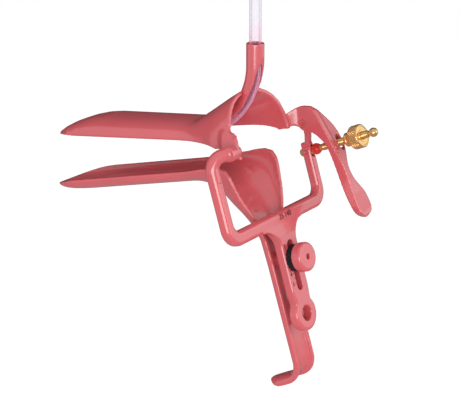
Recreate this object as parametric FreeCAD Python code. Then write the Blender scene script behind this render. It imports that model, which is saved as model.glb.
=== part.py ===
import FreeCAD, Part
import math
import os

# Bivalve speculum with a smoke guide, dip coated, modelled with its blades a little open.
# Frame of the part, in millimetres: +X points to the operator, -X along the blades,
# +Y to the lever side, +Z up. The origin is the centre of the round hole in the handle's
# ring end, on the handle's front face.

V = FreeCAD.Vector

# Frame: yoke, bar and handle
hinge_x = 2.7                # hinge axis of the upper blade, in front of the handle's face
hinge_z = 91.6
frame_mid_x = -4.3           # middle of the arms and of the bar
frame_thick = 6.0            # front to back
arm_y = 41.0                 # middle of each arm
left_arm_width = 6.4
right_arm_width = 5.4
bar_z = 50.4                 # middle of the bottom bar
bar_height = 7.2
corner_outer_radius = 9.5
corner_inner_radius = 4.5
bar_edge_radius = 2.2
arm_join_z = 82.0            # where the left arm's elbow starts
elbow_radius = 3.4           # half the thickness of the elbow
elbow_bend = 7.0
elbow_rise = 0.2             # elbow's middle above the hinge axis
right_arm_top_z = 80.6
tongue_width = 3.4           # front to back
tongue_thick = 2.6
pivot_ear_radius = 4.2
near_ear_radius = 3.0
handle_thick = 5.4
handle_width = 14.4
flare_radius = 10.0
handle_edge_radius = 1.3
handle_blend = 5.0           # the handle's face starts to fall back this far below the bar
ring_radius = 8.9
ring_neck_z = 13.0           # where the handle starts to widen to the ring
hang_hole_radius = 3.9
slot_top_z = 39.0
slot_bottom_z = 12.6
slot_width = 4.5

# Blades
blade_open_deg = 9.6         # how far the upper blade stands open at rest
blade_half_width = 17.5
sheet = 2.2                  # wall of both blades, coating included
upper_tip = 134.6            # hinge axis to the tip
upper_plan_length = 22.0     # length of the tip's rounding in plan
upper_fall_start = 100.0     # where the crown starts to fall to the tip
upper_fall_power = 1.9
upper_crown = 9.5            # crown above the hinge axis, blade held level
upper_crown_rise = 0.9       # crown is this much higher where it starts to fall
upper_rim = 1.4
upper_dip_start = 118.0      # from here to the tip the rim dips
upper_tip_dip = 1.6
upper_inner_past = 7.0       # the inner form runs this far past the rim, to open the trough
lower_inner_past = 3.5
far_cut_inset = 15.2         # the far side's cut starts this far inside the lever's inner face
mouth_radius = 28.4          # the upper blade's mouth is half a circle about the hinge axis
# Side view of the mouth's rim about the hinge axis, blade level, as (x, z)
mouth_rim = [(5.2, -12.0), (2.4, -4.0), (0.4, 0.0), (-1.9, 4.5), (-3.7, 8.4), (-6.1, 13.5),
             (-8.0, 18.7), (-9.8, 23.9), (-10.2, 27.0), (-10.0, 30.0)]
# The far side's rim falls further back beside the lever, as (x, z) from the top down
far_rim = [(-8.0, 18.7), (-7.2, 15.5), (-6.6, 12.0), (-6.3, 9.0), (-6.0, 6.0), (-5.4, 2.0),
           (-5.0, -2.0)]
lower_tip = 140.0            # origin to the lower blade's tip
lower_plan_length = 19.5
lower_fall_start = 111.0
lower_fall_power = 2.6
lower_rim_z = 84.9           # rim of the lower blade at lower_rim_x
lower_rim_x = 56.7
lower_slope = 0.0575
lower_depth = 7.2
lower_tip_dip = 2.7          # the rim drops this much at the tip

# Stem and hook of the lower blade
stem_half_width = 8.0
stem_depth = 4.5
stem_back_x = -12.2
stem_top_z = 42.0
hook_centre_z = -24.0
hook_radius = 7.0            # inside of the hook's bend
hook_turn_deg = 80.0
hook_length = 14.4           # straight part after the bend, tip included

# Lever of the upper blade
lever_out = 2.6              # the lever's inner face stands out past the mouth's radius
lever_inner_y = mouth_radius + lever_out
lever_plate = 3.4            # thickness of the lever beside the pivot
lever_lean = 0.15            # how far the lever's face falls back towards its outer edge
lever_slot_width = 4.8
lever_slot_length = 8.4

# Pivots and their clearances
ear_gap = 0.3
run_gap = 0.06               # radial clearance of a turning fit
pivot_screw_radius = 1.6
pivot_head_radius = 2.4
pivot_head_thick = 1.2
right_head_radius = 1.9
pivot_recess_gap = 0.1       # radial, round the near pivot's head
left_screw_depth = 2.8       # how far the near pivot goes into the elbow's end
ear_thick = 2.6
ear_out = 2.2                # the near ear stands out past the mouth's radius by this much

# Opening screw: rod, thumb nut and their pin
rod_pivot_z = 75.7
rod_angle_deg = 6.2
rod_radius = 2.0
rod_eye_thick = 2.4
rod_eye_half_height = 2.2
rod_eye_tail = 2.8           # the eye reaches this far behind its pin
rod_collar_start = 4.3
rod_collar_radius = 3.0
rod_collar_length = 4.2
rod_neck_radius = 1.7
rod_neck_length = 1.6
rod_end = 41.8               # pin to the middle of the end ball
ball_radius = 2.4
ball_stub_radius = 1.2
ball_stub_length = 3.0
rod_pin_radius = 0.9
arm_slot_width = 2.8
arm_slot_half_height = 3.0
nut_start = 25.1             # pin to the nut's near end, along the rod
nut_collar_radius = 3.7
nut_collar_length = 1.5
nut_cone_length = 3.0
nut_radius = 6.2
nut_knurl_length = 5.6
nut_groove_radius = 0.35
nut_groove_count = 24
nut_chamfer = 0.5

# Clamp of the lower blade
stud_radius = 2.15
stud_z = 29.4
stud_collar_radius = 4.2
flat_gap = 0.15              # between flat faces that slide or turn on each other
washer_radius = 6.9
washer_thick = 2.7
washer_tooth = 0.55
washer_teeth = 18
clamp_nut_radius = 7.5
clamp_nut_thick = 6.0
clamp_nut_edge = 1.5
clamp_nut_hole_radius = 1.5
stud_recess = 1.8            # the stud ends this far inside the clamp nut's face

# Smoke guide, tube and hose
hose_radius = 3.0
hose_gap = 0.3
guide_wall = 1.2
guide_top = 18.2             # guide reaches this far up the hose's last run
guide_cut_top = 13.5         # the tube is closed above this height of the run
guide_cut_low = -2.0         # and half open below this height
guide_cut_front = 1.0        # the open half starts this far in front of the hose's middle
guide_foot = 0.46            # share of the second run where the guide ends
socket_length = 9.0
socket_wall = 0.9
tube_radius = 2.5
tube_wall = 0.7
tube_far_x = 96.0            # reach of the smoke tube from the hinge axis
connector_length = 24.0
connector_radius = 4.6
spigot_radius = 3.6
spigot_length = 11.0

# The hose's route at rest, from the socket in the blade to the connector, as (x, z)
hose_route = [(-34.2, 101.5), (-21.5, 102.0), (-6.3, 110.0), (3.4, 121.6), (16.6, 164.5)]


def spline(points):
    """An edge that runs smoothly through the points."""
    curve = Part.BSplineCurve()
    curve.interpolate(points)
    return curve.toShape()


def polygon_face(points):
    return Part.Face(Part.makePolygon(points + [points[0]]))


def cylinder(radius, length, start, direction):
    return Part.makeCylinder(radius, length, start, direction)


def fuse(first, *others):
    return first.fuse(list(others)).removeSplitter()


def fillet_limit(radius, wall):
    """A fillet is never more than just under half the wall it sits on."""
    return min(radius, 0.45 * wall)


def trough_section(foot, normal_deg, depth, half_width, power, reach=0.0):
    """A U in the plane of Y and the normal, as a closed wire.

    foot is the (x, z) of the U's bottom. The normal turns from +Z towards +X. reach
    lengthens both sides past the rim.
    """
    angle = math.radians(normal_deg)
    normal = V(math.sin(angle), 0, math.cos(angle))
    base = V(foot[0], 0, foot[1])
    steps = 12
    points = []
    for i in range(steps + 1):
        turn = math.pi * i / steps
        side = math.cos(turn)
        across = math.copysign(abs(side) ** (2.0 / power), side) * half_width
        if i in (0, steps):
            along = depth
        else:
            along = depth * (1 - math.sin(turn) ** (2.0 / power))
        points.append(base + normal * along + V(0, across, 0))
    edges = [spline(points)]
    first, last = points[0], points[-1]
    if reach > 0:
        far_last, far_first = last + normal * reach, first + normal * reach
        edges.append(Part.makeLine(last, far_last))
        edges.append(Part.makeLine(far_last, far_first))
        edges.append(Part.makeLine(far_first, first))
    else:
        edges.append(Part.makeLine(last, first))
    return Part.Wire(edges)


def loft(sections):
    """A solid with straight runs from section to section, turned the right way out."""
    solid = Part.makeLoft(sections, True, True)
    if solid.Volume < 0:
        solid.reverse()
    return solid


def eased(rows, parts):
    """Adds rows between the given ones, on a smooth curve through them."""
    result = []
    last = len(rows) - 1
    for i in range(last):
        around = [rows[max(i - 1, 0)], rows[i], rows[i + 1], rows[min(i + 2, last)]]
        for k in range(parts):
            t = k / parts
            weights = (-0.5 * t ** 3 + t ** 2 - 0.5 * t, 1.5 * t ** 3 - 2.5 * t ** 2 + 1,
                       -1.5 * t ** 3 + 2 * t ** 2 + 0.5 * t, 0.5 * t ** 3 - 0.5 * t ** 2)
            result.append(tuple(sum(w * row[j] for w, row in zip(weights, around))
                                for j in range(len(rows[0]))))
    result.append(rows[-1])
    return result


def rotated(shape, degrees):
    """Turns a shape about the hinge axis; positive opens the upper blade."""
    turned = shape.copy()
    turned.rotate(V(hinge_x, 0, hinge_z), V(0, 1, 0), degrees)
    return turned


def tangent_path(points, share=0.45):
    """Straight runs through the points, joined by arcs; returns the wire and the radii."""
    edges, radii = [], []
    start = points[0]
    for before, here, after in zip(points, points[1:], points[2:]):
        run_in, run_out = here - before, after - here
        turn = run_in.getAngle(run_out)
        cut = share * min(run_in.Length, run_out.Length)
        radii.append(cut / math.tan(turn / 2))
        unit_in = V(run_in).normalize()
        unit_out = V(run_out).normalize()
        arc_start, arc_end = here - unit_in * cut, here + unit_out * cut
        bisector = (unit_out - unit_in).normalize()
        bulge = radii[-1] / math.cos(turn / 2) - radii[-1]
        edges.append(Part.makeLine(start, arc_start))
        edges.append(Part.Arc(arc_start, here + bisector * bulge, arc_end).toShape())
        start = arc_end
    edges.append(Part.makeLine(start, points[-1]))
    return Part.Wire(edges), radii


def tube_along(path, radius):
    """A round bar along a path of lines and tangent arcs."""
    start = path.Edges[0].valueAt(path.Edges[0].FirstParameter)
    direction = path.Edges[0].tangentAt(path.Edges[0].FirstParameter)
    ring = Part.Wire(Part.makeCircle(radius, start, direction))
    return path.makePipeShell([ring], True, False)


# The frame

def yoke_outline():
    """Front view of the arms and the bar, as a face in the plane of the arms' back."""
    left_out = -arm_y - left_arm_width / 2
    left_in = -arm_y + left_arm_width / 2
    right_in = arm_y - right_arm_width / 2
    right_out = arm_y + right_arm_width / 2
    bottom, top = bar_z - bar_height / 2, bar_z + bar_height / 2
    back = frame_mid_x - frame_thick / 2
    ring = corner_outer_radius
    hole = corner_inner_radius
    lean = math.sqrt(0.5)

    def at(y, z):
        return V(back, y, z)

    def arc(start, middle, end):
        return Part.Arc(at(*start), at(*middle), at(*end)).toShape()

    def line(start, end):
        return Part.makeLine(at(*start), at(*end))

    edges = [
        line((left_in, arm_join_z + elbow_bend / 2), (left_in, top + hole)),
        arc((left_in, top + hole),
            (left_in + hole * (1 - lean), top + hole * (1 - lean)), (left_in + hole, top)),
        line((left_in + hole, top), (right_in - hole, top)),
        arc((right_in - hole, top),
            (right_in - hole * (1 - lean), top + hole * (1 - lean)), (right_in, top + hole)),
        line((right_in, top + hole), (right_in, right_arm_top_z)),
        line((right_in, right_arm_top_z), (right_out, right_arm_top_z)),
        line((right_out, right_arm_top_z), (right_out, bottom + ring)),
        arc((right_out, bottom + ring),
            (right_out - ring * (1 - lean), bottom + ring * (1 - lean)),
            (right_out - ring, bottom)),
        line((right_out - ring, bottom), (left_out + ring, bottom)),
        arc((left_out + ring, bottom),
            (left_out + ring * (1 - lean), bottom + ring * (1 - lean)),
            (left_out, bottom + ring)),
        line((left_out, bottom + ring), (left_out, arm_join_z + elbow_bend / 2)),
        line((left_out, arm_join_z + elbow_bend / 2), (left_in, arm_join_z + elbow_bend / 2)),
    ]
    return Part.Face(Part.Wire(edges))


def yoke():
    bars = yoke_outline().extrude(V(frame_thick, 0, 0))
    radius = fillet_limit(bar_edge_radius, min(frame_thick, right_arm_width))
    front, back = frame_mid_x + frame_thick / 2, frame_mid_x - frame_thick / 2
    edges = []
    for edge in bars.Edges:
        box = edge.BoundBox
        on_face = min(abs(box.XMin - front) + abs(box.XMax - front),
                      abs(box.XMin - back) + abs(box.XMax - back)) < 1e-6
        if on_face and box.ZMax < arm_join_z + elbow_bend / 2 + 1 and box.ZMin < right_arm_top_z - 1:
            edges.append(edge)
    return bars.makeFillet(radius, edges)


def elbow():
    """The left arm's top, bent inwards and towards the operator to the left pivot."""
    end_y = -(mouth_radius + ear_gap + ear_out)
    z = hinge_z + elbow_rise
    points = [V(frame_mid_x, -arm_y, arm_join_z - 2), V(frame_mid_x, -arm_y, z),
              V(hinge_x, end_y, z)]
    run = points[2] - points[1]
    share = min(0.9, elbow_bend / run.Length)
    path, _ = tangent_path(points, share)
    bar = tube_along(path, elbow_radius)
    boss = cylinder(elbow_radius + 0.2, 4.0, V(hinge_x, end_y, hinge_z), V(0, -1, 0))
    flat = Part.makeBox(20, 20, 20, V(hinge_x - 10, end_y, hinge_z - 10))
    return fuse(bar, boss).cut(flat)


def tongue():
    """The thin bar from the right arm's top up to the right pivot, with its round ear."""
    inner_y = lever_inner_y + lever_plate + ear_gap
    middle_y = inner_y + tongue_thick / 2
    levels = [
        (frame_mid_x + 1.2, arm_y - 0.6, right_arm_top_z - 5),
        (frame_mid_x + 1.9, arm_y - 1.4, right_arm_top_z - 0.6),
        (hinge_x - 1.9, middle_y + 0.9, right_arm_top_z + 4.5),
        (hinge_x - 1.0, middle_y, hinge_z - 2.6),
    ]
    sections = []
    for x, y, z in levels:
        half_x, half_y = tongue_width / 2, tongue_thick / 2
        corners = [V(x - half_x, y - half_y, z), V(x + half_x, y - half_y, z),
                   V(x + half_x, y + half_y, z), V(x - half_x, y + half_y, z)]
        sections.append(Part.makePolygon(corners + [corners[0]]))
    bar = loft(sections)
    ear = cylinder(pivot_ear_radius, tongue_thick, V(hinge_x, inner_y, hinge_z), V(0, 1, 0))
    return fuse(bar, ear)


def handle_outline():
    """Front view of the handle below the bar: flared neck, straight sides and ring end."""
    half = handle_width / 2
    top = bar_z + 0.5
    bottom = bar_z - bar_height / 2
    flare = flare_radius
    lean = math.sqrt(0.5)
    rise = math.sqrt(ring_radius ** 2 - (ring_radius * 0.72) ** 2)

    def at(y, z):
        return V(-handle_thick, y, z)

    def side(sign):
        wide = sign * (half + flare)
        knee = at(sign * (half + flare * (1 - lean)), bottom + 0.2 - flare * (1 - lean))
        flare_end = at(sign * half, bottom + 0.2 - flare)
        waist = at(sign * half, ring_neck_z)
        ring_start = at(sign * ring_radius * 0.72, rise)
        return [
            Part.makeLine(at(wide, top), at(wide, bottom + 0.2)),
            Part.Arc(at(wide, bottom + 0.2), knee, flare_end).toShape(),
            Part.makeLine(flare_end, waist),
            spline([waist, at(sign * (half - 0.35), ring_neck_z - 3.2), ring_start]),
        ]

    left, right = side(-1), side(1)
    bottom_arc = Part.Arc(right[-1].Vertexes[-1].Point, at(0, -ring_radius),
                          left[-1].Vertexes[-1].Point).toShape()
    top_line = Part.makeLine(left[0].Vertexes[0].Point, right[0].Vertexes[0].Point)
    edges = Part.__sortEdges__(left + right + [bottom_arc, top_line])
    return Part.Face(Part.Wire(edges))


def handle():
    plate = handle_outline().extrude(V(handle_thick, 0, 0))
    radius = fillet_limit(handle_edge_radius, handle_thick)
    edges = []
    for edge in plate.Edges:
        box = edge.BoundBox
        flat = box.XLength < 1e-6
        if flat and box.ZMax < bar_z - bar_height / 2 + 0.5:
            edges.append(edge)
    return plate.makeFillet(radius, edges).cut(handle_blend_cutter())


def handle_blend_cutter():
    """Takes the handle's face back to the bar's front in a soft curve."""
    bottom = bar_z - bar_height / 2
    fall = -(frame_mid_x + frame_thick / 2)
    curve = [V(0, -40, bottom - handle_blend), V(-0.12 * fall, -40, bottom - 0.7 * handle_blend),
             V(-0.6 * fall, -40, bottom - 0.2 * handle_blend), V(-fall, -40, bottom + 2)]
    above = [V(-fall, -40, bar_z + 10), V(10, -40, bar_z + 10)]
    ahead = [V(10, -40, bottom - handle_blend), curve[0]]
    return closed_face([curve, above, ahead]).extrude(V(0, 80, 0))


def long_slot(width, low, high, y=0.0):
    """A cutter for a slot with round ends, along Z and through the handle."""
    radius = width / 2
    depth = 4 * handle_thick
    start = -2 * handle_thick
    body = Part.makeBox(depth, width, high - low - width, V(start, y - radius, low + radius))
    lower = cylinder(radius, depth, V(start, y, low + radius), V(1, 0, 0))
    upper = cylinder(radius, depth, V(start, y, high - radius), V(1, 0, 0))
    return fuse(body, lower, upper)


def frame():
    body = fuse(yoke(), handle(), elbow(), tongue())
    body = body.cut(long_slot(slot_width, slot_bottom_z, slot_top_z))
    body = body.cut(cylinder(hang_hole_radius, 4 * handle_thick,
                             V(-2 * handle_thick, 0, 0), V(1, 0, 0)))
    slit = Part.makeBox(4 * frame_thick, arm_slot_width, 2 * arm_slot_half_height,
                        V(frame_mid_x - 2 * frame_thick, arm_y - arm_slot_width / 2,
                          rod_pivot_z - arm_slot_half_height))
    pin_hole = cylinder(rod_pin_radius, right_arm_width,
                        V(frame_mid_x, arm_y - right_arm_width / 2, rod_pivot_z), V(0, 1, 0))
    left_screw = cylinder(pivot_screw_radius, left_screw_depth + 1,
                          V(hinge_x, left_face_y() + 1, hinge_z), V(0, -1, 0))
    right_screw = cylinder(pivot_screw_radius, 2 * tongue_thick,
                           V(hinge_x, lever_inner_y + lever_plate, hinge_z), V(0, 1, 0))
    return body.cut([slit, pin_hole, left_screw, right_screw])


def left_face_y():
    """The flat end of the left elbow, against the near ear."""
    return -(mouth_radius + ear_gap + ear_out)


# The upper blade, modelled level and then opened

def tip_fraction(reach, start, end, power):
    share = max(0.0, (reach - start) / (end - start))
    return max(0.0, 1 - share ** power)


def upper_stations(wall):
    """(reach, crown, half width, rim, power) from the tip to the mouth, less a wall."""
    mouth_end = -5.0 if wall == 0 else -8.0
    tip = upper_tip - wall
    plan_start = upper_tip - upper_plan_length
    stations = []
    for share in (0.985, 0.93, 0.84, 0.72, 0.58, 0.42, 0.22, 0.0):
        reach = upper_fall_start + (tip - upper_fall_start) * share
        width = 1.0
        if reach > plan_start:
            width = math.sqrt(1 - ((reach - plan_start) / (tip - plan_start)) ** 2)
        fall = tip_fraction(reach, upper_fall_start, tip, upper_fall_power)
        dip = max(0.0, (reach - upper_dip_start) / (upper_tip - upper_dip_start))
        rim = upper_rim - upper_tip_dip * dip ** 2
        height = (upper_crown + upper_crown_rise - upper_rim) * fall
        stations.append((reach, rim + max(height - wall, 0.5), blade_half_width * width - wall,
                         rim, 2.7))
    stations = [s for s in stations if s[2] > 0.8]
    flare = [
        (46.0, 0.00, 0.00, 0.00, 2.7), (40.5, 0.01, 0.01, 0.00, 2.65),
        (35.5, 0.09, 0.08, 0.00, 2.6), (30.5, 0.24, 0.22, 0.00, 2.45),
        (24.0, 0.43, 0.43, 0.02, 2.3), (18.0, 0.61, 0.64, 0.13, 2.2),
        (12.0, 0.78, 0.82, 0.42, 2.1), (6.0, 0.92, 0.95, 0.78, 2.0),
        (0.0, 1.00, 1.00, 1.00, 2.0), (mouth_end, 1.01, 1.01, 1.05, 2.0),
    ]
    for reach, crown, width, rim, power in eased(flare, 2):
        stations.append((
            reach,
            upper_crown + (mouth_radius - upper_crown) * crown - wall,
            blade_half_width + (mouth_radius - blade_half_width) * width - wall,
            upper_rim - (upper_rim + 3.9) * rim,
            power))
    return stations


def upper_solid(wall, reach_past):
    sections = []
    for reach, crown, half_width, rim, power in upper_stations(wall):
        foot = (hinge_x - reach, hinge_z + crown)
        sections.append(trough_section(foot, 180, crown - rim, half_width, power, reach_past))
    return loft(sections)


def lever_edge(points, y):
    return [V(hinge_x + x, y, hinge_z + z) for x, z in points]


# The lever's side view about the hinge axis, blade level: its face from the top down,
# the back of its plate, and the back of the bar that the screw works on.
lever_face = [(7.4, 7.6), (10.7, 1.9), (14.8, -5.7), (18.8, -13.7), (22.8, -21.3),
              (25.3, -29.0), (27.3, -36.5), (30.0, -43.6)]
lever_end = [(30.0, -43.6), (31.3, -46.4), (31.2, -49.0), (30.2, -50.0)]
lever_back = [(30.2, -50.0), (28.2, -48.6), (25.8, -44.6), (23.1, -38.9), (19.7, -29.3),
              (16.4, -18.6), (14.1, -12.6)]
plate_back = [(12.0, -9.3), (9.7, -7.2), (7.0, -5.2), (3.6, -4.0), (0.4, -3.6), (-2.4, -1.6),
              (-5.5, -0.7), (-8.5, -1.5), (-11.5, -2.1)]
plate_top = [(-11.5, 4.6), (-8.4, 5.0), (-6.0, 6.6), (-2.4, 8.7), (0.6, 9.2), (5.0, 9.0)]
bar_back = [(11.2, -7.4), (8.7, -2.6), (6.6, 2.4), (5.0, 7.2)]
# The lever's outer edge, seen by the operator, and the paddle's low edge, as (y, z) from the
# lever's inner face
lever_outer = [(2.6, 9.4), (5.0, 7.0), (9.2, 2.0), (12.6, -3.6), (13.6, -8.6), (13.0, -13.4),
               (8.6, -18.4), (5.6, -23.0), (6.6, -28.2), (10.6, -33.4), (14.4, -38.4),
               (15.1, -42.6), (13.6, -46.4), (9.6, -48.8)]
lever_inner_low = [(9.6, -48.8), (6.0, -49.4), (2.4, -47.9), (0.2, -45.2)]
# The neck in plan, from the far wing's wall outwards to the lever's plate, as (x, y) with y
# from the lever's inner face
neck_inner = [(-16.0, -6.4), (-9.5, -5.4), (-6.0, -3.6), (-3.0, -0.8), (0.0, 0.0)]
neck_outer = [(0.6, 3.4), (-3.6, 2.8), (-7.4, 0.2), (-11.0, -2.4), (-16.0, -4.2)]
# The web between the mouth's near wall and the near ear, in side view, as (x, z)
near_web_side = [(-10.0, -1.0), (2.4, -1.0), (2.4, 1.8), (1.2, 4.6), (-1.4, 9.0), (-10.0, 9.5)]


def closed_face(groups):
    """A face bounded by smooth runs through each group of points, joined by lines."""
    edges = []
    for index, group in enumerate(groups):
        following = groups[(index + 1) % len(groups)]
        edges.append(spline(group) if len(group) > 2 else Part.makeLine(group[0], group[1]))
        if group[-1].distanceToPoint(following[0]) > 1e-6:
            edges.append(Part.makeLine(group[-1], following[0]))
    return Part.Face(Part.Wire(edges))


def lever():
    """The lever: a plate beside the pivot that turns into a bar and ends in a paddle."""
    y = lever_inner_y
    depth = 16.0
    side = closed_face([lever_edge(lever_face, y), lever_edge(lever_end, y),
                        lever_edge(lever_back, y), lever_edge(bar_back, y)])
    bar = side.extrude(V(-lever_lean * depth, depth, 0))
    front = [V(-20, y + out, hinge_z + z) for out, z in lever_outer]
    low = [V(-20, y + out, hinge_z + z) for out, z in lever_inner_low]
    inner = [V(-20, y, hinge_z - 44.0), V(-20, y, hinge_z + 9.4)]
    mask = closed_face([front, low, inner]).extrude(V(80, 0, 0))
    bar = bar.common(mask)
    plate_side = closed_face([lever_edge(lever_face[:2] + lever_face[2:4], y),
                              lever_edge(plate_back, y), lever_edge(plate_top, y)])
    plate = plate_side.extrude(V(0, lever_plate, 0))
    plate_mask = Part.makeBox(60, lever_plate, 60, V(hinge_x - 2.0, y, hinge_z - 30))
    plate = plate.common(plate_mask)
    neck_side = plate_side.copy()
    neck_side.translate(V(0, -12, 0))
    neck = neck_side.extrude(V(0, 24, 0))
    plan = closed_face([[V(hinge_x + x, y + out, hinge_z - 20) for x, out in neck_inner],
                        [V(hinge_x + x, y + out, hinge_z - 20) for x, out in neck_outer]])
    neck = neck.common(plan.extrude(V(0, 0, 60)))
    return fuse(bar, plate, neck)


def near_web():
    """Carries the mouth's near wall outwards to the near ear."""
    outer = mouth_radius + ear_out
    sections = []
    for x, share in ((-10.0, 0.0), (-3.0, 0.55), (2.4, 1.0)):
        points = []
        for z, at_ear in ((9.5, 0.0), (6.0, 0.55), (2.5, 1.0), (-1.0, 1.0)):
            wall = math.sqrt(mouth_radius ** 2 - z ** 2) - 0.2
            points.append((wall + (outer - wall) * at_ear * share, z))
        ring = points + [(y - ear_thick, z) for y, z in reversed(points)]
        corners = [V(hinge_x + x, -y, hinge_z + z) for y, z in ring]
        sections.append(Part.makePolygon(corners + [corners[0]]))
    side = polygon_face(lever_edge(near_web_side, -45)).extrude(V(0, 45, 0))
    return loft(sections).common(side)


def lever_slot():
    """The slot that the rod passes through, cut along the rod's line at rest."""
    length, width = lever_slot_length, lever_slot_width
    slope = math.radians(rod_angle_deg + blade_open_deg)
    along = V(math.cos(slope), 0, math.sin(slope))
    up = V(-along.z, 0, along.x)
    pivot = level_point(frame_mid_x, rod_pivot_z)
    start = V(pivot[0], arm_y, pivot[1]) + along * 6
    radius = width / 2
    reach = 24.0
    half = length / 2 - radius
    low = cylinder(radius, reach, start - up * half, along)
    high = cylinder(radius, reach, start + up * half, along)
    corners = [start - up * half + V(0, radius, 0), start - up * half - V(0, radius, 0),
               start + up * half - V(0, radius, 0), start + up * half + V(0, radius, 0)]
    middle = polygon_face(corners).extrude(along * reach)
    return fuse(low, high, middle)


def level_point(x, z):
    """Where a point of the open blade lies when the blade is level."""
    angle = math.radians(blade_open_deg)
    dx, dz = x - hinge_x, z - hinge_z
    return (hinge_x + dx * math.cos(angle) - dz * math.sin(angle),
            hinge_z + dx * math.sin(angle) + dz * math.cos(angle))


def upper_blade():
    outer = upper_solid(0.0, 0.0)
    inner = upper_solid(sheet, upper_inner_past)
    shell = outer.cut(inner)
    rim = lever_edge(mouth_rim, -45)
    front = [rim[-1] + V(60, 0, 0), rim[0] + V(60, 0, 0)]
    shell = shell.cut(closed_face([rim, front]).extrude(V(0, 90, 0)))
    notch_y = lever_inner_y - far_cut_inset
    back = lever_edge(far_rim, notch_y)
    front = [back[-1] + V(60, 0, 0), back[0] + V(60, 0, 0)]
    shell = shell.cut(closed_face([back, front]).extrude(V(0, 15, 0)))
    # The far wing stops above the neck, so that the wing's foot stays on the near side only
    far_foot = Part.makeBox(14, 20, 20, V(hinge_x - 9.0, 20, hinge_z - 21.5))
    shell = shell.cut(far_foot)
    near_ear = cylinder(near_ear_radius, ear_thick,
                        V(hinge_x, -(mouth_radius + ear_out), hinge_z), V(0, 1, 0))
    blade = fuse(shell, near_ear, near_web(), lever())
    left_bore = cylinder(pivot_screw_radius + run_gap, 12,
                         V(hinge_x, -mouth_radius - 6, hinge_z), V(0, 1, 0))
    right_bore = cylinder(pivot_screw_radius + run_gap, lever_plate + 2,
                          V(hinge_x, lever_inner_y - 1, hinge_z), V(0, 1, 0))
    right_recess = cylinder(right_head_radius + run_gap, pivot_head_thick + 0.4 + 4,
                            V(hinge_x, lever_inner_y - 4, hinge_z), V(0, 1, 0))
    left_recess = cylinder(pivot_head_radius + pivot_recess_gap, 8,
                           V(hinge_x, -(mouth_radius + ear_out) + ear_thick, hinge_z), V(0, 1, 0))
    blade = blade.cut([left_bore, right_bore, left_recess, right_recess, lever_slot()])
    blade = rotated(blade, blade_open_deg)
    return blade.cut(guide_envelope())


# The lower blade with its bell, stem and hook

def lower_rim(x):
    return lower_rim_z + lower_slope * (-lower_rim_x - x)


def lower_rows(wall):
    """Rows (foot x, foot z, normal, depth, half width, power) from the tip to the hook."""
    rows = []
    tip = lower_tip - wall
    plan_start = lower_tip - lower_plan_length
    for share in (0.985, 0.93, 0.84, 0.72, 0.58, 0.42, 0.22, 0.0):
        reach = lower_fall_start + (tip - lower_fall_start) * share
        width = 1.0
        if reach > plan_start:
            width = math.sqrt(1 - ((reach - plan_start) / (tip - plan_start)) ** 2)
        fall = tip_fraction(reach, lower_fall_start, tip, lower_fall_power)
        dip = lower_tip_dip * max(0.0, (reach - 116) / (lower_tip - 116)) ** 2
        depth = max(lower_depth * fall - wall, 0.5)
        half_width = blade_half_width * width - wall
        if half_width > 0.8:
            rows.append((-reach, lower_rim(-reach) - dip - depth, 0, depth, half_width, 2.7))
    bell = [
        (-45.0, lower_rim(-45.0) - lower_depth, 0, lower_depth, blade_half_width, 2.7),
        (-37.5, 76.2, 5, 7.9, 17.9, 2.6), (-30.8, 73.8, 24, 11.3, 19.6, 2.5),
        (-25.0, 69.2, 44, 17.8, 22.3, 2.5), (-19.8, 62.2, 58, 11.8, 19.9, 2.4),
        (-15.7, 55.2, 71, 7.7, 15.6, 2.5), (-13.2, 48.4, 82, 5.2, 11.3, 3.2),
        (stem_back_x, stem_top_z, 90, stem_depth, stem_half_width + 1.3, 4.6),
    ]
    stem = [(stem_back_x, 28.0, 90, stem_depth, stem_half_width + 0.4, 5.0),
            (stem_back_x, hook_centre_z + 4, 90, stem_depth, stem_half_width, 5.0)]
    shape = eased(bell, 3) + stem + hook_rows(wall)
    for x, z, normal_deg, depth, half_width, power in shape:
        angle = math.radians(normal_deg)
        rows.append((x + wall * math.sin(angle), z + wall * math.cos(angle), normal_deg,
                     max(depth - wall, 0.4), half_width - wall, power))
    return rows


def hook_rows(wall):
    """Rows round the hook's bend and along its rounded tip, before the wall is taken off."""
    centre_x = stem_back_x - hook_radius
    turns = 7
    rows = []
    for i in range(turns + 1):
        angle = math.radians(hook_turn_deg) * i / turns
        rows.append((centre_x + hook_radius * math.cos(angle),
                     hook_centre_z - hook_radius * math.sin(angle),
                     90 + math.degrees(angle), stem_depth, stem_half_width, 5.0 - 1.6 * i / turns))
    end_x, end_z = rows[-1][:2]
    turn = math.radians(hook_turn_deg)
    for share in (0.3, 0.5, 0.68, 0.82, 0.92, 0.985):
        run = (hook_length - wall) * share
        rounding = max(0.0, (share - 0.3) / 0.7)
        half_width = stem_half_width * math.sqrt(1 - rounding ** 2)
        depth = stem_depth * (1 - rounding ** 3)
        if half_width > wall + 0.8:
            rows.append((end_x - run * math.sin(turn), end_z - run * math.cos(turn),
                         90 + hook_turn_deg, depth, half_width, 3.2))
    return rows


def lower_solid(wall, reach_past):
    return loft([trough_section((x, z), normal_deg, depth, half_width, power, reach_past)
                 for x, z, normal_deg, depth, half_width, power in lower_rows(wall)])


def lower_blade():
    body = lower_solid(0.0, 0.0).cut(lower_solid(sheet, lower_inner_past))
    stud_hole = cylinder(stud_radius, 6, V(stem_back_x - 2, 0, stud_z), V(1, 0, 0))
    return body.cut(stud_hole)


# Fasteners and the opening screw

def pivot_screw_left():
    """The near pivot: a low head inside the mouth and a shank into the elbow's end."""
    head_y = -(mouth_radius + ear_out) + ear_thick + flat_gap
    head = cylinder(pivot_head_radius, pivot_head_thick, V(hinge_x, head_y, hinge_z), V(0, 1, 0))
    shank = cylinder(pivot_screw_radius, head_y - left_face_y() + left_screw_depth,
                     V(hinge_x, head_y, hinge_z), V(0, -1, 0))
    return fuse(head, shank)


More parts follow.
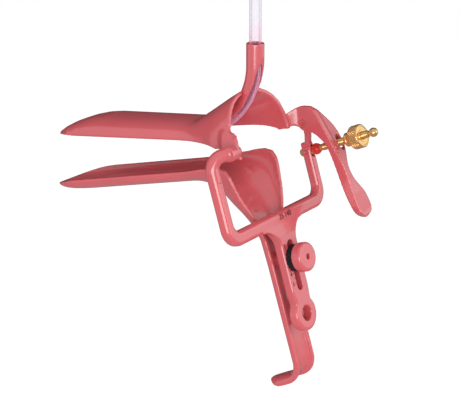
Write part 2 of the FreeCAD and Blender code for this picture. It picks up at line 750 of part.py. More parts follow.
def pivot_screw_right():
    """The far pivot: a head sunk in the lever's plate and a shank into the tongue's ear."""
    head_y = lever_inner_y + 0.4
    head = cylinder(right_head_radius, pivot_head_thick, V(hinge_x, head_y, hinge_z), V(0, 1, 0))
    socket = cylinder(1.0, 0.9, V(hinge_x, head_y - 0.1, hinge_z), V(0, 1, 0))
    length = lever_plate + ear_gap + tongue_thick - 0.4
    shank = cylinder(pivot_screw_radius, length, V(hinge_x, head_y, hinge_z), V(0, 1, 0))
    return fuse(head, shank).cut(socket)


def on_rod(shape):
    """Places a shape made along +X from the origin on the rod's line at rest."""
    placed = shape.copy()
    placed.rotate(V(0, 0, 0), V(0, 1, 0), -rod_angle_deg)
    placed.translate(V(frame_mid_x, arm_y, rod_pivot_z))
    return placed


def turned(profile):
    """Revolves (x, radius) points about the X axis."""
    points = [V(x, 0, radius) for x, radius in profile]
    return polygon_face(points).revolve(V(0, 0, 0), V(1, 0, 0), 360)


def threaded_rod():
    """A flat eye in the arm's slot, a tapered collar, a neck and the threaded length."""
    half, thick = rod_eye_half_height, rod_eye_thick
    tail_x = -rod_eye_tail
    tail = cylinder(half, thick, V(tail_x, -thick / 2, 0), V(0, 1, 0))
    web = Part.makeBox(rod_collar_start - tail_x + 0.5, thick, 2 * half,
                       V(tail_x, -thick / 2, -half))
    collar_end = rod_collar_start + rod_collar_length
    neck_end = collar_end + rod_neck_length
    shank = turned([
        (rod_collar_start, 0), (rod_collar_start, rod_collar_radius - 0.5),
        (rod_collar_start + 0.5, rod_collar_radius),
        (rod_collar_start + 1.5, rod_collar_radius),
        (collar_end - 0.8, rod_neck_radius + 0.4), (collar_end, rod_neck_radius),
        (neck_end, rod_neck_radius), (neck_end + 0.4, rod_radius),
        (rod_end - ball_stub_length - 0.2, rod_radius), (rod_end - ball_stub_length + 0.2, 1.6),
        (rod_end - ball_stub_length + 0.2, 0)])
    rod = fuse(tail, web, shank)
    rod = rod.cut(cylinder(rod_pin_radius + run_gap, thick + 2, V(0, -thick / 2 - 1, 0), V(0, 1, 0)))
    rod = rod.cut(cylinder(ball_stub_radius, ball_stub_length + 2,
                           V(rod_end - ball_stub_length - 1.5, 0, 0), V(1, 0, 0)))
    return on_rod(rod)


def rod_end_ball():
    """The polished ball that keeps the thumb nut on the rod, with its stub."""
    ball = Part.makeSphere(ball_radius, V(rod_end, 0, 0))
    stub = cylinder(ball_stub_radius, ball_stub_length + 1.5,
                    V(rod_end - ball_stub_length - 1.5, 0, 0), V(1, 0, 0))
    return on_rod(fuse(ball, stub))


def rod_pin():
    return cylinder(rod_pin_radius, right_arm_width,
                    V(frame_mid_x, arm_y - right_arm_width / 2, rod_pivot_z), V(0, 1, 0))


def thumb_nut():
    """Small collar, cone and knurled barrel on the rod."""
    cone_start = nut_start + nut_collar_length
    barrel_start = cone_start + nut_cone_length
    end = barrel_start + nut_knurl_length
    bore = rod_radius + run_gap
    nut = turned([
        (nut_start, bore), (nut_start, nut_collar_radius - 0.4),
        (nut_start + 0.4, nut_collar_radius), (cone_start, nut_collar_radius),
        (barrel_start - 0.6, nut_radius - 0.6), (barrel_start, nut_radius),
        (end - nut_chamfer, nut_radius), (end, nut_radius - nut_chamfer), (end, bore)])
    grooves = []
    for i in range(nut_groove_count):
        angle = 2 * math.pi * i / nut_groove_count
        y = (nut_radius + 0.1) * math.cos(angle)
        z = (nut_radius + 0.1) * math.sin(angle)
        grooves.append(cylinder(nut_groove_radius, nut_knurl_length + 2,
                                V(barrel_start - 1, y, z), V(1, 0, 0)))
    return on_rod(nut.cut(grooves))


def clamp_stud():
    """The stud from the stem through the handle's slot, with a collar behind the handle."""
    front_x = washer_thick + 2 * flat_gap + clamp_nut_thick
    stud_end = front_x - stud_recess
    floor_x = stem_back_x + sheet
    stud = cylinder(stud_radius, stud_end - stem_back_x, V(stem_back_x, 0, stud_z), V(1, 0, 0))
    collar = cylinder(stud_collar_radius, -handle_thick - flat_gap - floor_x,
                      V(floor_x, 0, stud_z), V(1, 0, 0))
    return fuse(stud, collar)


def clamp_washer():
    """Toothed washer between the handle and the clamp nut."""
    washer = cylinder(washer_radius, washer_thick, V(flat_gap, 0, stud_z), V(1, 0, 0))
    notches = []
    for i in range(washer_teeth):
        angle = 2 * math.pi * i / washer_teeth
        y = (washer_radius + 0.15) * math.cos(angle)
        z = stud_z + (washer_radius + 0.15) * math.sin(angle)
        notches.append(cylinder(washer_tooth, washer_thick + 1, V(flat_gap - 0.5, y, z), V(1, 0, 0)))
    bore = cylinder(stud_radius + run_gap, washer_thick + 1, V(flat_gap - 0.5, 0, stud_z), V(1, 0, 0))
    return washer.cut(notches + [bore])


def clamp_nut():
    """Round clamp nut with soft edges and a small hole in its face."""
    back_x = washer_thick + 2 * flat_gap
    front_x = back_x + clamp_nut_thick
    nut = cylinder(clamp_nut_radius, clamp_nut_thick, V(back_x, 0, stud_z), V(1, 0, 0))
    rims = [edge for edge in nut.Edges if edge.BoundBox.XLength < 1e-6]
    nut = nut.makeFillet(fillet_limit(clamp_nut_edge, clamp_nut_thick), rims)
    bore = cylinder(stud_radius + run_gap, clamp_nut_thick - stud_recess + 0.3 + 1,
                    V(back_x - 1, 0, stud_z), V(1, 0, 0))
    eye = cylinder(clamp_nut_hole_radius, clamp_nut_thick, V(front_x - 3, 0, stud_z), V(1, 0, 0))
    return nut.cut([bore, eye])


# Smoke guide, tube, hose and connector

def hose_points():
    return [V(x, 0, z) for x, z in hose_route]


def hose_path():
    return tangent_path(hose_points())


def hose_run_direction():
    points = hose_points()
    return (points[-1] - points[-2]).normalize()


def guide_path():
    """The hose's path from part way along its second run up to the guide's top."""
    points = hose_points()
    foot = points[1] + (points[2] - points[1]) * guide_foot
    top = points[-2] + hose_run_direction() * guide_top
    edges = []
    start = foot
    for before, here, after in zip(points[1:], points[2:4], points[3:]):
        run_in, run_out = here - before, after - here
        cut = 0.45 * min(run_in.Length, run_out.Length)
        cut = min(cut, (here - start).Length - 0.05)
        turn = run_in.getAngle(run_out)
        unit_in, unit_out = V(run_in).normalize(), V(run_out).normalize()
        arc_start, arc_end = here - unit_in * cut, here + unit_out * cut
        radius = cut / math.tan(turn / 2)
        bisector = (unit_out - unit_in).normalize()
        middle = here + bisector * (radius / math.cos(turn / 2) - radius)
        if start.distanceToPoint(arc_start) > 1e-4:
            edges.append(Part.makeLine(start, arc_start))
        edges.append(Part.Arc(arc_start, middle, arc_end).toShape())
        start = arc_end
    edges.append(Part.makeLine(start, top))
    return Part.Wire(edges)


def guide_envelope():
    """The guide's outside with its seam clearance, cut from the upper blade's rim."""
    return tube_along(guide_path(), hose_radius + hose_gap + guide_wall + 0.05)


def smoke_guide():
    """A tube cut away obliquely towards the operator, like a saddle for the hose."""
    inner = hose_radius + hose_gap
    outer = inner + guide_wall
    path = guide_path()
    shell = tube_along(path, outer).cut(tube_along(path, inner))
    points = hose_points()
    along = hose_run_direction()
    side = V(along.z, 0, -along.x)
    before = (points[2] - points[1]).normalize()
    below = V(before.z, 0, -before.x)
    top = points[3] + along * guide_cut_top + side * (outer + 0.5)
    knee = points[3] + along * guide_cut_low + side * guide_cut_front
    bend = points[2] + (below + side).normalize() * guide_cut_front
    foot = points[1] + before * 4 + below * guide_cut_front
    far = 40.0
    profile = [foot, bend, knee, top, top + V(far, 0, 0), foot + V(far, 0, -far)]
    removed = polygon_face([p - V(0, 20, 0) for p in profile]).extrude(V(0, 40, 0))
    return shell.cut(removed)


def smoke_socket_point():
    """Where the hose ends in the smoke tube's socket, and the socket's direction."""
    points = hose_points()
    return points[0], (points[1] - points[0]).normalize()


def smoke_tube():
    """The suction tube under the upper blade's crown, with a socket for the hose."""
    mouth, direction = smoke_socket_point()
    inner = hose_radius + 0.02
    socket = cylinder(inner + socket_wall, socket_length + 1.5, mouth - direction * 1.5, direction)
    angle = math.radians(blade_open_deg)
    back = V(-math.cos(angle), 0, math.sin(angle))
    length = tube_far_x - (hinge_x - mouth.x)
    tube = cylinder(tube_radius, length, mouth - direction * 0.5, back)
    body = fuse(socket, tube)
    hose_room = cylinder(inner, socket_length + 4, mouth, direction)
    bore = cylinder(tube_radius - tube_wall, length + 6, mouth - back * 0.5, back)
    return body.cut([hose_room, bore])


def smoke_hose():
    path, radii = hose_path()
    print("hose radii", [round(r, 1) for r in radii], "length", round(path.Length, 1))
    return tube_along(path, hose_radius)


def hose_connector():
    """Suction connector on the hose's upper end: body, shoulder and tapered spigot."""
    end = hose_points()[-1]
    shoulder = connector_length - spigot_length
    profile = [
        (0, 0), (0, hose_radius + 0.9), (1.0, connector_radius), (4.5, connector_radius),
        (5.5, connector_radius - 0.6), (shoulder - 3.0, connector_radius - 0.6),
        (shoulder - 2.2, connector_radius + 0.9), (shoulder, connector_radius + 0.9),
        (shoulder, spigot_radius), (connector_length - 0.6, spigot_radius),
        (connector_length, spigot_radius - 0.6), (connector_length, 0)]
    body = turned(profile)
    body = body.cut(cylinder(1.6, connector_length + 2, V(2.0, 0, 0), V(1, 0, 0)))
    along = hose_run_direction()
    tilt = math.degrees(math.atan2(along.z, along.x))
    body.rotate(V(0, 0, 0), V(0, 1, 0), -tilt)
    body.translate(end)
    return body


NODES = {
    "frame": frame,
    "upper_blade": upper_blade,
    "lower_blade": lower_blade,
    "pivot_screw_left": pivot_screw_left,
    "pivot_screw_right": pivot_screw_right,
    "threaded_rod": threaded_rod,
    "rod_end_ball": rod_end_ball,
    "rod_pin": rod_pin,
    "thumb_nut": thumb_nut,
    "clamp_stud": clamp_stud,
    "clamp_washer": clamp_washer,
    "clamp_nut": clamp_nut,
    "smoke_guide": smoke_guide,
    "smoke_tube": smoke_tube,
    "smoke_hose": smoke_hose,
    "hose_connector": hose_connector,
}

os.makedirs("parts", exist_ok=True)
for name, make in NODES.items():
    solid = make()
    print(name, "solids", len(solid.Solids), "volume", round(solid.Volume, 1), solid.isValid())
    solid.exportStep("parts/" + name + ".step")
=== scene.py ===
import bpy
import math
from mathutils import Matrix, Vector


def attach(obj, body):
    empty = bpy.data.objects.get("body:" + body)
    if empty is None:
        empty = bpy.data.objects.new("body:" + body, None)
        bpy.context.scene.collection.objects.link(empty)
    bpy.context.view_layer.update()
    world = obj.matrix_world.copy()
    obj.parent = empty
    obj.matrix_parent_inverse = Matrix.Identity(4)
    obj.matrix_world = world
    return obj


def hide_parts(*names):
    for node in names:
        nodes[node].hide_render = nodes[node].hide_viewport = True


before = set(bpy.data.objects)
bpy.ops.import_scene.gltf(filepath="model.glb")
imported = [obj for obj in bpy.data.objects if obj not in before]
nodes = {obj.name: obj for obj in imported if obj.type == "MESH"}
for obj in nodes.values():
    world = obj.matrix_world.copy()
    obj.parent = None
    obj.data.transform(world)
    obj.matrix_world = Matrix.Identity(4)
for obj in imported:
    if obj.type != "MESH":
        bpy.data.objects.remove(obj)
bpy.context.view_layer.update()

MM = 0.001

# Bivalve speculum: the looks of the solids, with the thread, the knurl, the print and the hose.
# Sizes and places are in millimetres on the solids' axes, and angles in degrees.

# Camera, fitted to the photograph
camera_place = Vector((412.24, -557.97, 170.53))
camera_back = Vector((0.6155, -0.7726, 0.1559))   # from the object towards the camera
camera_level = Vector((0.7822, 0.6231, 0))        # the picture's level line before its roll
camera_roll = 14.24
camera_lens = 109.57
camera_sensor = 36

# Clear hose: the x and z of its points, the ones that the solids follow
hose_route = [(-34.2, 101.5), (-21.5, 102.0), (-6.3, 110.0), (3.4, 121.6), (7.84, 136.03),
              (16.6, 164.5)]
hose_radius = 3.0
hose_wall = 0.8
hose_painted_reflection_top = 142.0        # coral-tinted below this height: a painted reflection of the guide's coral coating in the clear hose
hose_pale_from = 151.0

# Dipped pieces: the grain of their rounded skin, and how often it is smoothed
dipped = [("frame", 0.42, 5), ("upper_blade", 0.45, 5), ("lower_blade", 0.45, 5),
          ("clamp_nut", 0.3, 5), ("smoke_guide", 0.3, 4)]

# Where the upper blade's near web meets the mouth's near wall: a centre and a reach each
hinge_x = 2.7
hinge_z = 91.6
near_wall_y = -28.0
web_spots = [((hinge_x - 9.5, near_wall_y, hinge_z + 4.5), (5.5, 7.0, 9.5)),
             ((hinge_x - 5.4, near_wall_y, hinge_z + 9.2), (7.0, 7.0, 5.3))]
web_rounds = 60
web_full = 0.6               # smoothed in full within this share of the reach

# Opening screw: places run along the rod from its pin
rod_pin_place = Vector((-4.3, 41.0, 75.7))
rod_angle = 6.2
rod_core = 0.4               # the turned forms' end faces close in to this radius
rod_radius = 2.0
rod_start = 8.1              # just inside the collar
rod_end = 39.0
rod_sides = 40
collar_start = 4.3
collar_end = 8.2
collar_radius = 3.0
thread_start = 10.3
thread_end = 38.4
thread_pitch = 0.8
thread_depth = 0.30
thread_step = 0.1            # greatest distance between two rings
eye_radius = 2.15
eye_front = 4.7
eye_centre = -2.8            # middle of the eye's rounded end
eye_half_thick = 1.2
eye_arc_parts = 12
eye_bevel = 0.35

# Thumb nut, on the same places
nut_start = 25.1
nut_face = 35.1
nut_bore = 2.08
nut_radius = 6.18
nut_sides = 240
nut_crisp_angle = 40
knurl_start = 30.0
knurl_end = 34.4
knurls = 30
knurl_depth = 0.28
knurl_groove = 0.5           # share of the spacing that a groove takes
knurl_step = 0.12

# Print on the frame's front faces
bar_face_x = -1.2
handle_face_x = 0.1
size_text = "35 140"         # width and length of the blades
size_text_height = 3.8
size_text_y = 3.5
size_text_z = 51.2
letter_swell = 0.05
number_count = 5
number_height = 2.8
number_y = -5.3
number_spacing = 5.0
scale_top = 37.0             # first number and first tick
tick_count = 9
tick_y = -3.6
tick_spacing = 2.5
tick_long = 1.1
tick_short = 0.8
tick_half_height = 0.16

# Stage and light: brightness 1 is white
floor_half = 4000.0
floor_level = -250.0
floor_in_gloss = 0.26        # how bright the floor looks in glossy surfaces
floor_glow = 1.08            # how bright it looks to the camera
floor_glow_share = 0.86      # the rest of what the camera sees is the floor with its shadow
sky_levels = [(0.0, 0.78), (0.3, 0.86), (0.8, 1.12)]   # height of a direction, brightness
behind = (-0.8, 1, 0.4)                                # away from the camera
gloss_levels = [(0.50, 0.48), (0.58, 0.02)]            # how far behind, brightness
sky_blue = 1.01              # blue against the other colours
lamp_target = Vector((-30.0, 0, 70.0))

# Looks that all materials share
coat_roughness = 0.13
grain_height = 0.4           # height of the bump at full strength
drift_ends = (0.3, 0.7)      # where the slow noise reaches the darker and the lighter tone
rough_ends = (0.85, 1.2)     # shares of the roughness at the noise's ends


def photo_camera():
    """The photograph's camera; its axes come from its direction and its roll."""
    back = camera_back.normalized()
    level = (camera_level - back * camera_level.dot(back)).normalized()
    upright = back.cross(level)
    roll = math.radians(camera_roll)
    right = level * math.cos(roll) - upright * math.sin(roll)
    up = level * math.sin(roll) + upright * math.cos(roll)
    turn = Matrix((right, up, back)).transposed().to_4x4()
    data = bpy.data.cameras.new("photo_camera")
    data.lens = camera_lens
    data.sensor_width = camera_sensor
    camera = bpy.data.objects.new("photo_camera", data)
    bpy.context.collection.objects.link(camera)
    camera.matrix_world = Matrix.Translation(camera_place * MM) @ turn
    return camera


bpy.context.scene.camera = photo_camera()


# Helpers for shader and geometry nodes

def feed(tree, node, inputs):
    """Sets a node's inputs, by name or number, to constants or links them to outputs."""
    for key, value in inputs.items():
        if isinstance(value, bpy.types.NodeSocket):
            tree.links.new(value, node.inputs[key])
        else:
            node.inputs[key].default_value = value
    return node


def add_node(tree, kind, inputs=None, **settings):
    """A new node with its settings and inputs."""
    node = tree.nodes.new(kind)
    for name, value in settings.items():
        setattr(node, name, value)
    return feed(tree, node, inputs or {})


def add_ramp(tree, factor, stops):
    """A colour ramp's output; the stops are (position, colour) pairs from low to high."""
    node = add_node(tree, "ShaderNodeValToRGB", {"Fac": factor})
    elements = node.color_ramp.elements
    while len(elements) < len(stops):
        elements.new(0.5)
    for element, (position, color) in zip(elements, stops):
        element.position = position
        element.color = (*color, 1)
    return node.outputs["Color"]


def mix_colors(tree, factor, first, second):
    """The first colour where the factor is 0, the second where it is 1."""
    inputs = {"Factor": factor, "A": first, "B": second}
    return add_node(tree, "ShaderNodeMix", inputs, data_type="RGBA").outputs["Result"]


def mix_shaders(tree, factor, first, second):
    """The first shader where the factor is 0, the second where it is 1."""
    inputs = {"Fac": factor, 1: first, 2: second}
    return add_node(tree, "ShaderNodeMixShader", inputs).outputs["Shader"]


# Materials

def material(name, color, tones, scale, rough, metallic=0.0, coat=0.0, bump=0.02,
             bump_scale=900.0, specular=0.5, coat_ior=1.5):
    """A principled material whose colour and roughness drift a little over the surface."""
    mat = bpy.data.materials.new(name)
    mat.use_nodes = True
    tree = mat.node_tree
    shader = tree.nodes["Principled BSDF"]
    feed(tree, shader, {"Base Color": (*color, 1), "Metallic": metallic, "Coat Weight": coat,
                        "Coat Roughness": coat_roughness, "Coat IOR": coat_ior,
                        "Specular IOR Level": specular})
    place = add_node(tree, "ShaderNodeTexCoord").outputs["Object"]
    drift = add_node(tree, "ShaderNodeTexNoise",
                     {"Vector": place, "Scale": scale, "Detail": 3}).outputs["Fac"]
    toned = [[min(c * tone, 1) for c in color] for tone in tones]
    spread = add_node(tree, "ShaderNodeMapRange",
                      {"Value": drift, "To Min": rough * rough_ends[0],
                       "To Max": rough * rough_ends[1]})
    feed(tree, shader, {"Base Color": add_ramp(tree, drift, list(zip(drift_ends, toned))),
                        "Roughness": spread.outputs["Result"]})
    if bump:
        grain = add_node(tree, "ShaderNodeTexNoise", {"Vector": place, "Scale": bump_scale})
        relief = add_node(tree, "ShaderNodeBump",
                          {"Height": grain.outputs["Fac"], "Strength": bump,
                           "Distance": grain_height * MM})
        feed(tree, shader, {"Normal": relief.outputs["Normal"]})
    return mat


coating = material("coral_coating", (0.60, 0.085, 0.10), tones=(0.95, 1.05), scale=30,
                   rough=0.42, coat=1.0, bump=0.05, bump_scale=160, specular=0.45,
                   coat_ior=1.88)
# The screw's collar is polished brass; this red colour is a painted reflection of the coral
# coating around it.
collar_painted_reflection = material("collar_painted_reflection", (0.58, 0.028, 0.018), tones=(0.9, 1.1), scale=200,
                      rough=0.3, coat=0.3, bump=0.03, specular=0.25)
print_black = material("print_black", (0.035, 0.02, 0.022), tones=(0.85, 1.2), scale=400,
                       rough=0.5, bump=0.0)
brass = material("brass_polished", (0.95, 0.61, 0.25), tones=(0.92, 1.05), scale=220,
                 rough=0.15, metallic=0.88, bump=0.03, bump_scale=1600)
washer_black = material("washer_black", (0.012, 0.012, 0.014), tones=(0.8, 1.5), scale=300,
                        rough=0.42, bump=0.12, bump_scale=2200, specular=0.15)
pale_plastic = material("connector_plastic", (0.62, 0.65, 0.70), tones=(0.95, 1.04), scale=120,
                        rough=0.32, coat=0.2, bump=0.03)


def clear_tube():
    """Soft clear tube: see-through face on, coloured at its edges, pale above; low down it is
    tinted coral as a painted reflection of the guide's coating.
    """
    painted_reflection_edge = (0.80, 0.38, 0.54, 1)
    pale_face = (0.80, 0.81, 0.88, 1)
    pale_edge = (0.56, 0.53, 0.70, 1)
    tint = (0.985, 0.975, 0.985, 1)
    face_slant, edge_slant = 0.2, 0.75    # between these the tube turns from clear to solid
    face_cover, edge_cover = 0.06, 0.7
    # The coral-tinted base colour is a painted reflection of the guide's coral coating; above the
    # guide the tube turns pale.
    mat = material("clear_hose", (0.93, 0.50, 0.72), tones=(0.97, 1.03), scale=90, rough=0.12,
                   bump=0.0)
    tree = mat.node_tree
    shader = tree.nodes["Principled BSDF"]
    facing = add_node(tree, "ShaderNodeLayerWeight", {"Blend": 0.5}).outputs["Facing"]
    place = add_node(tree, "ShaderNodeTexCoord").outputs["Object"]
    height = add_node(tree, "ShaderNodeSeparateXYZ", {"Vector": place}).outputs["Z"]
    above = add_node(tree, "ShaderNodeMapRange",
                     {"Value": height, "From Min": hose_painted_reflection_top * MM,
                      "From Max": hose_pale_from * MM}).outputs["Result"]
    drifting = shader.inputs["Base Color"].links[0].from_socket
    painted_reflection = mix_colors(tree, facing, drifting, painted_reflection_edge)
    pale = mix_colors(tree, facing, pale_face, pale_edge)
    feed(tree, shader, {"Base Color": mix_colors(tree, above, painted_reflection, pale)})
    see = add_node(tree, "ShaderNodeBsdfTransparent", {"Color": tint}).outputs["BSDF"]
    solid = add_node(tree, "ShaderNodeMapRange",
                     {"Value": facing, "From Min": face_slant, "From Max": edge_slant,
                      "To Min": face_cover, "To Max": edge_cover}).outputs["Result"]
    surface = mix_shaders(tree, solid, see, shader.outputs["BSDF"])
    feed(tree, tree.nodes["Material Output"], {"Surface": surface})
    return mat


hose_clear = clear_tube()


# Helpers for pieces

def dress(obj, mat):
    """Gives an object one material."""
    obj.data.materials.clear()
    obj.data.materials.append(mat)


def add_object(name, data, mat):
    """A new object in the scene, from a mesh or a curve."""
    obj = bpy.data.objects.new(name, data)
    bpy.context.collection.objects.link(obj)
    dress(obj, mat)
    return obj


def add_mesh(name, vertices, faces, mat, smooth=True):
    """A mesh object from vertices in millimetres."""
    mesh = bpy.data.meshes.new(name)
    mesh.from_pydata([Vector(v) * MM for v in vertices], [], faces)
    mesh.validate()
    for face in mesh.polygons:
        face.use_smooth = smooth
    return add_object(name, mesh, mat)


def clear_hose():
    """The hose: a tube along its route."""
    curve = bpy.data.curves.new("smoke_hose_clear", "CURVE")
    curve.dimensions = "3D"
    curve.bevel_depth = hose_radius * MM
    curve.bevel_resolution = 10
    line = curve.splines.new("NURBS")
    line.points.add(len(hose_route) - 1)
    for point, (x, z) in zip(line.points, hose_route):
        point.co = (x * MM, 0, z * MM, 1)
    line.order_u = 3
    line.use_endpoint_u = True
    line.resolution_u = 24
    obj = add_object("smoke_hose_clear", curve, hose_clear)
    wall = obj.modifiers.new("wall", "SOLIDIFY")
    wall.thickness = hose_wall * MM
    wall.offset = -1
    return obj


hose = clear_hose()
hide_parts("smoke_hose")
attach(hose, "upper_body")


def soften(obj, voxel, rounds):
    """The coating rounds every edge of a dipped piece."""
    dress(obj, coating)
    skin = obj.modifiers.new("coat", "REMESH")
    skin.mode = "VOXEL"
    skin.voxel_size = voxel * MM
    skin.use_smooth_shade = True
    ease = obj.modifiers.new("ease", "SMOOTH")
    ease.factor = 0.5
    ease.iterations = rounds


def vector_socket(sockets):
    """The one among a node's sockets that carries a vector."""
    return next(socket for socket in sockets if socket.type == "VECTOR")


def run_into(obj, spots, rounds):
    """The coating fills the steps near these places, less and less out to each one's reach."""
    group = bpy.data.node_groups.new("run_into", "GeometryNodeTree")
    for way in ("INPUT", "OUTPUT"):
        group.interface.new_socket("Geometry", in_out=way, socket_type="NodeSocketGeometry")
    start = add_node(group, "NodeGroupInput")
    where = add_node(group, "GeometryNodeInputPosition").outputs["Position"]
    to_local = obj.matrix_world.inverted()
    share = 0.0
    for centre, reach in spots:
        offset = add_node(group, "ShaderNodeVectorMath",
                          {0: where, 1: to_local @ (Vector(centre) * MM)},
                          operation="SUBTRACT").outputs["Vector"]
        scaled = add_node(group, "ShaderNodeVectorMath", {0: offset, 1: Vector(reach) * MM},
                          operation="DIVIDE").outputs["Vector"]
        length = add_node(group, "ShaderNodeVectorMath", {0: scaled},
                          operation="LENGTH").outputs["Value"]
        near = add_node(group, "ShaderNodeMapRange",
                        {"Value": length, "From Min": 1.0, "From Max": web_full}).outputs["Result"]
        share = add_node(group, "ShaderNodeMath", {0: share, 1: near},
                         operation="MAXIMUM").outputs["Value"]
    blur = add_node(group, "GeometryNodeBlurAttribute", {"Iterations": rounds, "Weight": share},
                    data_type="FLOAT_VECTOR")
    group.links.new(where, vector_socket(blur.inputs))
    moved = add_node(group, "GeometryNodeSetPosition",
                     {"Geometry": start.outputs["Geometry"],
                      "Position": vector_socket(blur.outputs)})
    add_node(group, "NodeGroupOutput", {"Geometry": moved.outputs["Geometry"]})
    obj.modifiers.new("run_into", "NODES").node_group = group


for name, voxel, rounds in dipped:
    soften(nodes[name], voxel, rounds)
run_into(nodes["upper_blade"], web_spots, web_rounds)
for name in ("pivot_screw_left", "pivot_screw_right", "rod_pin", "clamp_stud", "smoke_tube"):
    dress(nodes[name], coating)
dress(nodes["rod_end_ball"], brass)
dress(nodes["clamp_washer"], washer_black)
dress(nodes["hose_connector"], pale_plastic)


# Opening screw and thumb nut, made along +X and placed on the rod's line
rod_place = Matrix.Translation(rod_pin_place) @ Matrix.Rotation(math.radians(-rod_angle), 4, "Y")


def stretch(start, end, radius, step):
    """Rings of one radius between two places, no further apart than the step."""
    parts = math.ceil((end - start) / step)
    rings = [(start + (end - start) * (k / parts), radius) for k in range(parts)]
    return rings + [(end, radius)]


def lathe(rings, around, closed=False, cut=None):
    """Vertices and faces of a form turned about the rod's line, from (place, radius) rings.

    A cut gives the depth to take off at a place and an angle. A closed form joins its last
    ring to its first, and an open one has a face at each end.
    """
    vertices, faces = [], []
    for x, radius in rings:
        for k in range(around):
            angle = 2 * math.pi * k / around
            r = radius - cut(x, angle) if cut else radius
            vertices.append(rod_place @ Vector((x, r * math.cos(angle), r * math.sin(angle))))
    count = len(rings)
    for i in range(count if closed else count - 1):
        j = (i + 1) % count
        for k in range(around):
            n = (k + 1) % around
            faces.append((i * around + k, i * around + n, j * around + n, j * around + k))
    if not closed:
        faces.append(tuple(range(around - 1, -1, -1)))
        faces.append(tuple(range((count - 1) * around, count * around)))
    return vertices, faces


def thread_cut(x, angle):
    """Depth of the thread, a groove that climbs one pitch a turn."""
    if not thread_start <= x <= thread_end:
        return 0
    phase = (x / thread_pitch + angle / (2 * math.pi)) % 1
    return thread_depth * abs(2 * phase - 1)


def knurl_cut(x, angle):
    """Depth of the knurl, two sets of slanting grooves that cross."""
    if not knurl_start <= x <= knurl_end:
        return 0
    around = knurls * angle / (2 * math.pi)
    along = x * knurls / (2 * math.pi * nut_radius)
    depth = 0
    for way in (1, -1):
        phase = (around + way * along) % 1
        depth = max(depth, 1 - abs(2 * phase - 1) / knurl_groove)
    return knurl_depth * depth


def screw_eye():
    """The rod's flat eye: two straight sides and a half circle, with its edges eased."""
    outline = [(eye_front, eye_radius), (eye_centre, eye_radius)]
    for k in range(1, eye_arc_parts):
        angle = math.pi / 2 + math.pi * k / eye_arc_parts
        outline.append((eye_centre + eye_radius * math.cos(angle), eye_radius * math.sin(angle)))
    outline += [(eye_centre, -eye_radius), (eye_front, -eye_radius)]
    count = len(outline)
    points = [rod_place @ Vector((x, side, z)) for side in (-eye_half_thick, eye_half_thick)
              for x, z in outline]
    faces = [tuple(range(count)), tuple(range(2 * count - 1, count - 1, -1))]
    for k in range(count):
        n = (k + 1) % count
        faces.append((k, k + count, n + count, n))
    obj = add_mesh("opening_screw_eye", points, faces, brass, smooth=False)
    edge = obj.modifiers.new("edge", "BEVEL")
    edge.width = eye_bevel * MM
    edge.segments = 3
    return obj


collar_rings = [(collar_start, rod_core), (collar_start, 2.4), (4.5, 2.8), (4.8, collar_radius),
                (5.8, collar_radius), (6.6, 2.75), (7.7, 2.1), (collar_end, 1.85),
                (collar_end, rod_core)]
rod_rings = [(rod_start, rod_core), (rod_start, 1.75), (8.5, 1.75), (9.0, 1.7), (10.1, 1.7),
             *stretch(thread_start, thread_end, rod_radius, thread_step),
             (38.8, 1.65), (rod_end, rod_core)]
nut_rings = [(nut_start, nut_bore), (nut_start, 3.2), (25.25, 3.5), (25.5, 3.65), (26.4, 3.65),
             (26.65, 3.45), (26.9, 3.5), (27.9, 4.2), (28.9, 5.2), (29.5, 5.75), (29.8, 6.0),
             *stretch(knurl_start, knurl_end, nut_radius, knurl_step),
             (34.65, 6.05), (35.0, 5.7), (nut_face, 5.5), (nut_face, 4.9), (34.9, 4.75),
             (34.9, 3.3), (35.15, 3.15), (35.15, 2.2), (35.0, nut_bore)]

# The collar's red material is a painted reflection of the coral coating in polished brass.
collar = add_mesh("opening_screw_collar", *lathe(collar_rings, rod_sides), collar_painted_reflection)
rod = add_mesh("opening_screw", *lathe(rod_rings, rod_sides, cut=thread_cut), brass)
eye = screw_eye()
for piece, slot in ((rod, "brass"), (eye, "brass"), (collar, "coating")):
    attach(piece, "rod_body")
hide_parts("threaded_rod")

nut = add_mesh("thumb_nut_knurled", *lathe(nut_rings, nut_sides, closed=True, cut=knurl_cut),
               brass)
crisp = nut.modifiers.new("crisp", "EDGE_SPLIT")
crisp.split_angle = math.radians(nut_crisp_angle)
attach(nut, "thumb_nut_body")
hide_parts("thumb_nut")


# Print

def printed(name, text, height, x, y, z):
    """Plain characters in dark print, centred at a place on a face that looks along +X."""
    curve = bpy.data.curves.new(name, "FONT")
    curve.body = text
    curve.size = height * MM
    curve.offset = letter_swell * MM
    curve.align_x = "CENTER"
    curve.align_y = "CENTER"
    letters = bpy.data.objects.new(name, curve)
    bpy.context.collection.objects.link(letters)
    bpy.context.view_layer.update()
    flat = bpy.data.meshes.new_from_object(letters.evaluated_get(
        bpy.context.evaluated_depsgraph_get()))
    bpy.data.objects.remove(letters)
    flat.transform(Matrix(((0, 0, 1, x * MM), (1, 0, 0, y * MM), (0, 1, 0, z * MM), (0, 0, 0, 1))))
    obj = add_object(name, flat, print_black)
    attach(obj, "frame_body")


def slot_ticks():
    """Ticks beside the handle's slot, every other one shorter."""
    points, faces = [], []
    for index in range(tick_count):
        z = scale_top - tick_spacing * index
        low, high = z - tick_half_height, z + tick_half_height
        end_y = tick_y + (tick_short if index % 2 else tick_long)
        first = len(points)
        points += [(handle_face_x, tick_y, low), (handle_face_x, end_y, low),
                   (handle_face_x, end_y, high), (handle_face_x, tick_y, high)]
        faces.append((first, first + 1, first + 2, first + 3))
    return add_mesh("slot_ticks", points, faces, print_black, smooth=False)


printed("bar_size_numbers", size_text, size_text_height, bar_face_x, size_text_y, size_text_z)
for index in range(number_count):
    printed("slot_number_%d" % (index + 1), str(index + 1), number_height, handle_face_x,
            number_y, scale_top - number_spacing * index)
tick_marks = slot_ticks()
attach(tick_marks, "frame_body")


# Stage and light

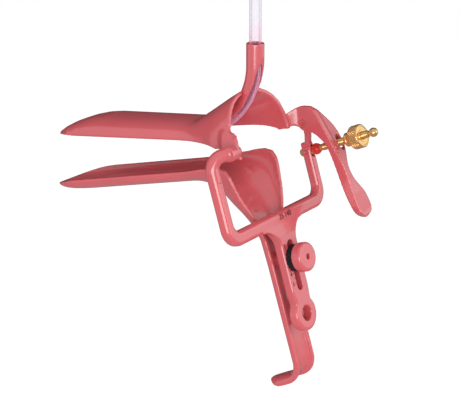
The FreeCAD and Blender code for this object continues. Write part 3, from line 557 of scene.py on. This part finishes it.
def pale_floor():
    """Matt floor that looks white to the camera and darker to glossy surfaces."""
    mat = bpy.data.materials.new("floor_pale")
    mat.use_nodes = True
    tree = mat.node_tree
    matt = feed(tree, tree.nodes["Principled BSDF"],
                {"Base Color": (0.86, 0.85, 0.86, 1), "Roughness": 0.9})
    mirrored = add_node(tree, "ShaderNodeEmission", {"Strength": floor_in_gloss})
    glow = add_node(tree, "ShaderNodeEmission", {"Strength": floor_glow})
    path = add_node(tree, "ShaderNodeLightPath")
    unseen = mix_shaders(tree, path.outputs["Is Glossy Ray"], matt.outputs["BSDF"],
                         mirrored.outputs["Emission"])
    mostly = add_node(tree, "ShaderNodeMath",
                      {0: path.outputs["Is Camera Ray"], 1: floor_glow_share},
                      operation="MULTIPLY")
    surface = mix_shaders(tree, mostly.outputs["Value"], unseen, glow.outputs["Emission"])
    feed(tree, tree.nodes["Material Output"], {"Surface": surface})
    return mat


floor_corners = [(-floor_half, -floor_half, 0), (floor_half, -floor_half, 0),
                 (floor_half, floor_half, 0), (-floor_half, floor_half, 0)]
floor = add_mesh("floor", floor_corners, [(0, 1, 2, 3)], pale_floor(), smooth=False)
floor.location = (0, 0, floor_level * MM)


def grey_sky(tree, factor, levels):
    """A background in greys; the levels are (position, brightness) pairs from low to high."""
    greys = [(position, (level, level, level * sky_blue)) for position, level in levels]
    color = add_ramp(tree, factor, greys)
    return add_node(tree, "ShaderNodeBackground", {"Color": color}).outputs["Background"]


def studio_world():
    """Soft light that grows overhead; white to the camera, dark behind the object in gloss."""
    world = bpy.data.worlds.new("studio")
    world.use_nodes = True
    tree = world.node_tree
    direction = add_node(tree, "ShaderNodeTexCoord").outputs["Generated"]
    height = add_node(tree, "ShaderNodeSeparateXYZ", {"Vector": direction}).outputs["Z"]
    depth = add_node(tree, "ShaderNodeVectorMath", {0: direction, 1: behind},
                     operation="DOT_PRODUCT").outputs["Value"]
    path = add_node(tree, "ShaderNodeLightPath")
    lit = mix_shaders(tree, path.outputs["Is Glossy Ray"], grey_sky(tree, height, sky_levels),
                      grey_sky(tree, depth, gloss_levels))
    white = add_node(tree, "ShaderNodeBackground", {"Color": (1, 1, 1, 1)})
    seen = add_node(tree, "ShaderNodeMath",
                    {0: path.outputs["Is Camera Ray"], 1: path.outputs["Is Transmission Ray"]},
                    operation="MAXIMUM")
    surface = mix_shaders(tree, seen.outputs["Value"], lit, white.outputs["Background"])
    feed(tree, tree.nodes["World Output"], {"Surface": surface})
    return world


bpy.context.scene.world = studio_world()


def softbox(name, place, size, watts):
    """A rectangular lamp that faces the object, hidden from the camera."""
    data = bpy.data.lights.new(name, "AREA")
    data.shape = "RECTANGLE"
    data.size, data.size_y = [side * MM for side in size]
    data.energy = watts
    obj = bpy.data.objects.new(name, data)
    obj.location = Vector(place) * MM
    obj.visible_camera = False
    aim = (lamp_target - Vector(place)) * MM
    obj.rotation_euler = aim.to_track_quat("-Z", "Y").to_euler()
    bpy.context.collection.objects.link(obj)


softbox("key", (550, -750, -20), (800, 420), 3.4)
softbox("side", (900, 280, 50), (400, 800), 1.0)
softbox("low", (550, 700, -60), (900, 900), 1.5)

bpy.context.scene.view_settings.view_transform = "Standard"
